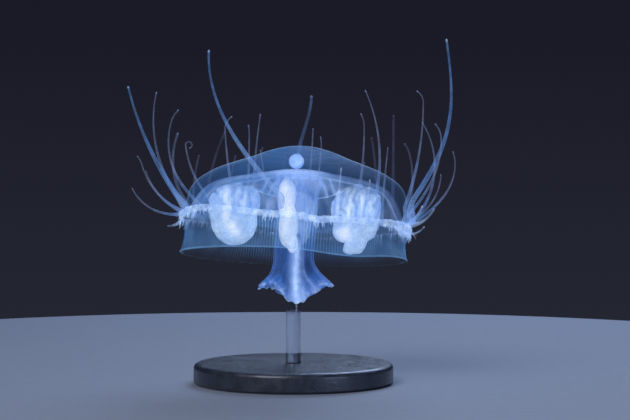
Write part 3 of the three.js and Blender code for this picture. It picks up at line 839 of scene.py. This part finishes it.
def angles(t, at, rise, tip, turn_in=0.35, lean=None, hook=0.0, hook_from=0.86, power=1,
           wave=0.0, cling=0.0, length=1.0, **_):
    """Rise and heading of a tentacle, in radians, at shares t of its length. The rise
    runs from `rise` to `tip` with a wave and an end hook, and is steeper by `cling` over
    the first 2 mm, close to the bell. The heading swings from straight outward to a lean
    to the side on which the tentacle stands."""
    if lean is None:
        lean = RIGHTWARD if math.cos(math.radians(at) + SPIN) > 0 else LEFTWARD
    climb = (rise + (tip - rise) * t ** power + wave * np.sin(2 * np.pi * t)
             + hook * np.clip((t - hook_from) / (1 - hook_from), 0, 1)
             + cling * (1 - smooth(t * length, 0, 2)))
    return np.radians(climb), np.radians(at + (lean - at) * smooth(t, 0, turn_in))


def tentacle(shape, root_radius, tip_radius):
    """Tube along a tentacle. Its line is the running sum of short straight steps, each at
    the rise and heading of its place. The section is round, thins to the tip, swells at
    the root and is banded, and its sides are the two directions square to the step.
    Gives also the share of its length at each point."""
    length, steps = shape["length"], int(shape["length"] * STEPS_PER_MM)
    climb, heading = angles((np.arange(steps) + 0.5) / steps, **shape)
    ahead = round_axis(np.cos(climb), heading, np.sin(climb))
    out, height, root = SEATS[shape.get("seat", "top")]
    at = math.radians(shape["at"])
    seat = round_axis(out, at, height + 0.45 * bump_at(at, RIGHTWARD, 30))
    run = np.concatenate([np.linspace(-root, 0, ROOT_STEPS, endpoint=False),
                          np.linspace(0, length, steps + 1)])
    line = seat + np.concatenate([run[:ROOT_STEPS, None] * ahead[:1], np.zeros((1, 3)),
                                  np.cumsum(ahead, axis=0) * length / steps])
    t = np.maximum(run, 0) / length
    climb, heading = angles(t, **shape)
    over = round_axis(-np.sin(climb), heading, np.cos(climb))
    aside = round_axis(1, heading + np.pi / 2, 0)
    thick = root_radius + (tip_radius - root_radius) * smooth(t, -0.05, 0.95)
    thick *= 1 + 0.45 * np.exp(-(run / 0.7) ** 2)
    thick *= 1 + 0.02 * np.sin(2 * np.pi * run / BAND + 2 * np.sin(1.7 * run))
    thick *= np.sqrt(1 - np.clip((run - length + tip_radius) / tip_radius, 0, 1) ** 2)
    turn = once_round(TENTACLE_COLUMNS)[:, None]
    tube = line[:, None] + thick[:, None, None] * (
        np.cos(turn) * over[:, None] + np.sin(turn) * aside[:, None])
    cap = np.repeat(line[:1, None], TENTACLE_COLUMNS + 1, axis=1)
    along = np.concatenate([t[:1], t])[:, None] + np.zeros(TENTACLE_COLUMNS + 1)
    return np.concatenate([cap, tube]), along


def tentacle_looks(tree):
    """Clear gel with a paler root and a bright tip. A far one is violet and soft."""
    along, far, bold, grey = (mark(tree, name) for name in ("along", "far", "bold", "grey"))
    tip = ramp(along, 0.975, 0.995)
    share = most(tip * 0.8, ramp(along, 0.0, 0.22, 0.34, 0.0), bold * 0.7,
                 cloud(tree, 1.6, detail=2.0, warp=0.2) * 0.10)
    colour = blend(share, rgb(108, 158, 224), rgb(190, 214, 246))
    colour = blend(far, blend(grey, colour, rgb(142, 146, 172)), rgb(106, 112, 154))
    body = ramp(cloud(tree, 0.8, detail=2.0, warp=0.3), 0, 1, 0.11, 0.18)
    edge = facing(tree, 2.0) * 0.24 * (1.0 - far)
    ends = tip * 0.20 + ramp(along, 0.0, 0.25, 0.07, 0.0) + bold * 0.20
    soft = 1.0 - facing(tree, 1.2) * far * 0.8
    fade = ramp(along, 0.35, 0.95, 1.0, 0.8) * (1.0 - far * 0.45)
    return (colour, (body + edge + ends) * soft * fade,
            relief(cloud(tree, 2.0, detail=2.0, warp=0.2), 0.006))


tentacle_tissue = clear_jelly("tentacle_tissue", tentacle_looks, 0.45)


def add_tentacle(name, shape, root_radius, tip_radius, nodes):
    """One tentacle as a piece of its own. Those at the back are softer and more violet,
    and the slender ones turn grey above."""
    far = shape.get("far", smooth(math.sin(math.radians(shape["at"]) + SPIN), 0.1, 0.6))
    stout = shape.get("stout", 1 + 0.55 * far)
    tube, along = tentacle(shape, root_radius * stout, tip_radius * (2 * stout - 1))
    grey = (1 - smooth(root_radius, 0.18, 0.25)) * 0.75 * smooth(along, 0.1, 0.6)
    bold = shape.get("bold", 0) * (1 - smooth(along, 0.35, 0.75))
    piece = skin(name, [tube[None]], tentacle_tissue, along=[along],
                 far=[far + 0 * along], grey=[grey], bold=[bold])
    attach(piece, "root")
    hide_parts(*nodes)


LONG_ROOT, LONG_TIP = 0.27, 0.10
LONG_TENTACLES = {
    "right": dict(at=0, length=18.7, rise=59, tip=102, turn_in=0.3, wave=-5, cling=44),
    "back": dict(at=94, length=13.6, rise=86, tip=93, turn_in=0.3, wave=14, far=0.45),
    "left": dict(at=180, length=13.4, rise=49, tip=72, turn_in=0.3),
    "front": dict(at=268, length=16.4, rise=43, tip=89, turn_in=0.06, lean=200, power=2.0,
                  bold=0.4),
}
for side, shape in LONG_TENTACLES.items():
    add_tentacle("tentacle_" + side, dict(shape, seat="high"), LONG_ROOT, LONG_TIP,
                 [f"tentacle_{side}_{place}" for place in ("root", "middle", "tip")])

MEDIUM_ROOT, ROOT_PER_MM, MEDIUM_TIP = 0.086, 0.0066, 0.06
MEDIUM_TENTACLES = [                  # azimuth, length, rise at root and tip, and more
    (7, 9.2, 38, 113, dict(power=1.8)), (18, 11.7, 46, 126, dict(turn_in=0.2)),
    (30, 9.3, 64, 115, dict(hook=15, turn_in=0.2)), (37, 12, 93, 94), (52, 10, 86, 104),
    (64, 7.5, 88, 84), (76, 8.2, 86, 94), (104, 7.8, 86, 92), (118, 8.4, 84, 98),
    (132, 7.2, 78, 100), (150, 9.4, 86, 110), (155, 9.9, 34, 107, dict(far=0.3, stout=1.45)),
    (161, 6.4, 80, 100), (172, 6.3, 18, 68), (190, 7.3, 20, 78, dict(hook=-35)),
    (198, 5.8, -12, 60, dict(seat="side")), (205, 12.4, 44, 98),
    (223, 10.9, 27, 112, dict(hook=20)), (232, 8.2, 38, 88, dict(hook=265, hook_from=0.82)),
    (244, 9, 74, 84, dict(hook=60, hook_from=0.82)), (251.5, 7.9, 88, 86, dict(hook=-10)),
    (254.5, 9, 86, 94), (262, 5.6, 78, 76), (281, 7.9, 86, 92),
    (285, 7.2, 82, 92, dict(hook=15)), (307, 10, 80, 97, dict(hook=25)), (318, 12.7, 74, 118),
    (322, 7, 90, 88), (343, 13.5, 71, 97, dict(hook=60, hook_from=0.9, turn_in=0.15)),
    (350, 11, 54, 110, dict(power=1.7, hook=30, turn_in=0.1)),
    (355, 6.3, 24, 92, dict(turn_in=0.1)),
]
for number, (at, length, rise, tip, *more) in enumerate(MEDIUM_TENTACLES, 1):
    name = f"tentacle_medium_{number:02}"
    add_tentacle(name, dict(*more, at=at, length=length, rise=rise, tip=tip),
                 MEDIUM_ROOT + ROOT_PER_MM * length, MEDIUM_TIP, [name])


# ------------------------------------------------------------------ nettle ring
# The swollen bright rim of the bell, packed with stinging cells. A fringe of very short
# tentacles grows out of it in clumps, with a few longer ones, all one flesh with it.
RING_RADIUS, RING_THICK, RING_COLUMNS = 11.2, 0.37, 960


def swollen(turn):
    """Share by which the ring is thicker: it bulges at the right, and less at the left."""
    return 0.80 * bump_at(turn, 347, 11) + 0.38 * bump_at(turn, 190, 15)


def ring_body():
    """A torus whose section swells in warts: the radius of the section is a sum of waves
    round the ring and round the section. Gives also how far a point faces the axis."""
    turn, about = once_round(RING_COLUMNS), once_round(20)[:, None]
    wart = (0.07 * np.sin(67 * turn + 2 * np.sin(about)) * np.sin(2 * about + 5 * turn)
            + 0.05 * np.sin(113 * turn + 3 * about) + 0.05 * np.sin(29 * turn - about))
    lump = swollen(turn)
    thick = RING_THICK * (1 + lump) * (0.95 + (1 + 1.3 * lump) * wart)
    radius = RING_RADIUS + thick * np.cos(about)
    height = rim_line(turn) - 0.35 * lump + 1.05 * thick * np.sin(about)
    inward = smooth(-np.cos(about), -0.7, -0.1) + 0 * turn
    return round_axis(radius, turn, height), inward


def fringe(count, seed):
    """Short strands on the ring, all in one array. Each starts inside the ring at its own
    azimuth, sets out at its own fall and drift, and sags along a parabola; its section is
    round and tapers to a blunt end. They are longest in clumps, by a wave round the ring,
    and where the ring turns to the sides."""
    draw = np.random.default_rng(seed)
    at = np.linspace(0, 2 * np.pi, count, endpoint=False) + draw.normal(0, 0.010, count)
    clump = (0.5 + 0.5 * np.cos(15 * at + 0.26)) ** 1.5
    side = np.abs(np.cos(at + SPIN)) ** 3
    fall = np.radians(draw.choice([-84, -62, -34, 2], count, p=[.5, .24, .14, .12])
                      + draw.normal(0, 9, count))
    size = 0.20 + (0.44 * clump + 0.28 * side) * draw.uniform(0.5, 1.25, count)
    size *= 1 - 0.8 * bare(at)
    size = np.where(fall > -0.3, 0.7 * size, size)
    drift = draw.normal(0, 0.16, count)
    thick = draw.uniform(0.07, 0.125, count)
    t, turn = np.linspace(0, 1, 8), once_round(6)[:, None]
    lump = swollen(at)
    start = round_axis(RING_RADIUS + 0.16 + 0.25 * lump, at, rim_line(at) - 0.1 - 0.5 * lump)
    outward, sideways = round_axis(1, at, 0), round_axis(1, at + np.pi / 2, 0)
    ahead = round_axis(np.cos(fall), at, np.sin(fall)) + sideways * drift[:, None]
    sag = [0, 0, -0.12] + outward * draw.normal(0, 0.08, (count, 1))
    run = t[:, None] * ahead[:, None] + t[:, None] ** 2 * sag[:, None]
    line = start[:, None] + (0.2 + size)[:, None, None] * run
    over = unit(np.cross(sideways, ahead))
    taper = (1 - 0.2 * t) * np.sqrt(np.clip(1 - t ** 6, 0, 1))
    ring = np.cos(turn) * over[:, None, None] + np.sin(turn) * sideways[:, None, None]
    tube = line[:, :, None] + (thick[:, None] * taper)[:, :, None, None] * ring
    cap = np.repeat(line[:, :1, None], len(turn), axis=2)
    along = np.concatenate([[0], t])[None, :, None] + np.zeros((count, 1, len(turn)))
    inward = smooth(-(ring * outward[:, None, None]).sum(-1), -0.7, -0.1) + 0 * along
    return np.concatenate([cap, tube], axis=1), along, inward


STRANDS, SEED = 300, 11
SMALL_ROOT, SMALL_PER_MM, SMALL_TIP = 0.07, 0.02, 0.07
SMALL_TENTACLES = [
    dict(at=12, length=3.2, rise=10, tip=70, turn_in=0.2, stout=1.45),
    dict(at=23, length=3.0, rise=40, tip=70, turn_in=0.2, stout=1.45),
    dict(at=186, length=1.3, rise=-40, tip=0, seat="under", turn_in=0.2, stout=1.2),
    dict(at=296, length=4.4, rise=92, tip=88),
    dict(at=312, length=3.6, rise=88, tip=88),
    dict(at=345.5, length=2.5, rise=-20, tip=60, seat="under", turn_in=0.2),
]
ring, ring_inward = ring_body()
strands, strand_along, strand_inward = fringe(STRANDS, SEED)
grids = [ring[None], strands]
reaches = [0 * ring_inward, strand_along]
shown = [(1 - 0.94 * ring_inward) * (1 - 0.45 * bare(once_round(RING_COLUMNS))),
         1 - 0.94 * strand_inward]
for shape in SMALL_TENTACLES:
    stout = shape.get("stout", 1.0)
    root_radius = SMALL_ROOT + SMALL_PER_MM * shape["length"]
    tube, along = tentacle(shape, root_radius * stout, SMALL_TIP * stout)
    grids.append(tube[None])
    reaches.append(along)
    shown.append(0.5 - 0.15 * along + 0.5 * smooth(along, 0.88, 0.96))


def ring_looks(tree):
    """Packed pale cells, which thin out along the strands."""
    along = mark(tree, "along")
    share = (cloud(tree, 1.8, detail=4.0, warp=0.4) * 0.60 + 0.40
             + ramp(along, 0.8, 1.0, 0.0, 0.15))
    alpha = ramp(cloud(tree, 1.1, warp=0.4), 0, 1, 0.66, 0.92) - along * 0.38
    return (blend(share, rgb(122, 166, 238), rgb(198, 224, 255)), veiled(alpha),
            relief(cloud(tree, 5.0, warp=0.3), 0.04))


ring_tissue = clear_jelly("ring_tissue", ring_looks, 0.50, roughness=0.4, gloss=0.2)
nettle_ring = skin("nettle_ring", grids, ring_tissue, along=reaches, shown=shown)
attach(nettle_ring, "root")
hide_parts(*[f"nettle_ring_{place}" for place in (
    "back_right", "back_left", "front_left", "front_right")])
